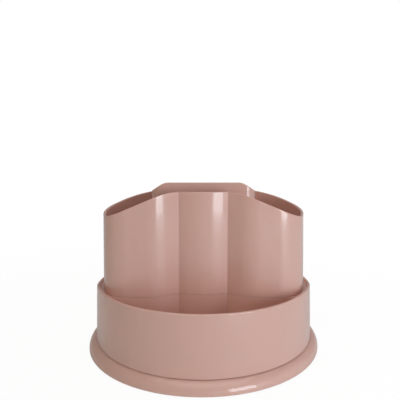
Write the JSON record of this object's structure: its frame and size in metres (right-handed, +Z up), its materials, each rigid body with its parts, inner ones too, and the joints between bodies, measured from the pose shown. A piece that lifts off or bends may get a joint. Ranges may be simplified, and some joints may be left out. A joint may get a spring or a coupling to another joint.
{
  "type": "rotating desk organizer",
  "caption": "Round desk organizer that turns on its foot: lobed block of pen cups with a tall well, an open tray in front and small drawers at the rear.",
  "frame": {"origin": "on the desk, under the middle of the foot, on the turning axis", "axes": "+Z up along the turning axis, -Y towards the open tray (front), +Y the way the drawers slide out"},
  "size_m": [0.21, 0.21, 0.148],
  "materials": {
    "foot_base": "moulded dusty pink, glossy",
    "rubber_feet": "dull black rubber",
    "pivot_bush": "natural white acetal",
    "pivot_washer": "zinc-plated steel",
    "pivot_screw": "zinc-plated steel",
    "bearing_balls": "polished bearing steel",
    "ball_cage": "natural white plastic",
    "drum_shell": "moulded dusty pink, glossy",
    "drum_floor": "moulded dusty pink, glossy",
    "floor_screws": "zinc-plated steel",
    "cup_screws": "zinc-plated steel",
    "cup_block": "moulded dusty pink, glossy",
    "drawer_left": "moulded dusty pink, glossy",
    "drawer_right": "moulded dusty pink, glossy"
  },
  "bodies": {
    "foot": {"foot_base": "foot_base", "rubber_feet": "rubber_feet", "pivot_bush": "pivot_bush"},
    "ball_ring": {"ball_cage": "ball_cage", "bearing_balls": "bearing_balls"},
    "drum": {"drum_floor": "drum_floor", "drum_shell": "drum_shell", "cup_block": "cup_block", "floor_screws": "floor_screws", "cup_screws": "cup_screws", "pivot_washer": "pivot_washer", "pivot_screw": "pivot_screw"},
    "left_drawer": {"drawer_left": "drawer_left"},
    "right_drawer": {"drawer_right": "drawer_right"}
  },
  "joints": [
    {"name": "drum_spin", "type": "hinge", "parent": "foot", "child": "drum", "pos_m": [0, 0, 0.0119], "axis": [0, 0, 1], "continuous": true},
    {"name": "ball_ring_spin", "type": "hinge", "parent": "foot", "child": "ball_ring", "pos_m": [0, 0, 0.0119], "axis": [0, 0, 1], "continuous": true},
    {"name": "left_drawer_slide", "type": "slide", "parent": "drum", "child": "left_drawer", "axis": [0, 1, 0], "range_m": [0, 0.07]},
    {"name": "right_drawer_slide", "type": "slide", "parent": "drum", "child": "right_drawer", "axis": [0, 1, 0], "range_m": [0, 0.07]}
  ],
  "couplings": [
    {"joint": "ball_ring_spin", "follows": "drum_spin", "ratio": 0.5}
  ]
}
